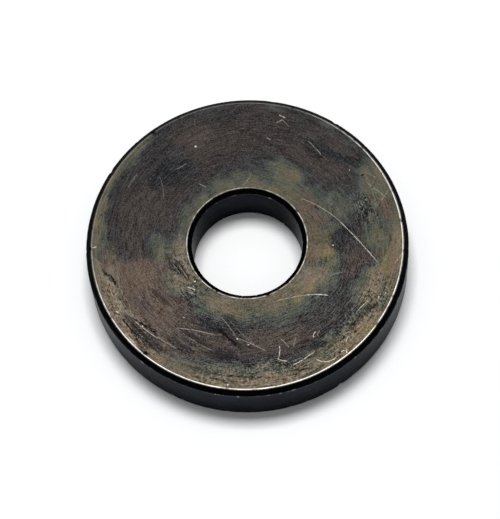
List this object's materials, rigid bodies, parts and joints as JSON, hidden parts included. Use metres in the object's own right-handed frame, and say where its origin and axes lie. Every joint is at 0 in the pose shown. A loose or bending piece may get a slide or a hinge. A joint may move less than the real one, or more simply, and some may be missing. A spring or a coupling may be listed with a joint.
{
  "type": "flat washer",
  "caption": "Heavy flat washer: a thick round plate of blackened steel with a round bolt hole through its centre and chamfered edges.",
  "frame": {"origin": "centre of the lower face, on the bolt hole's axis", "axes": "+Z along the bolt hole's axis, from the lower face to the upper face"},
  "size_m": [0.038, 0.038, 0.0062],
  "materials": {
    "blackened_steel": "blackened and heat-tinted, satin on the faces, darker on the turned rim and bore, worn bright along the edges"
  },
  "bodies": {
    "root": {"washer": "blackened_steel"}
  },
  "joints": []
}
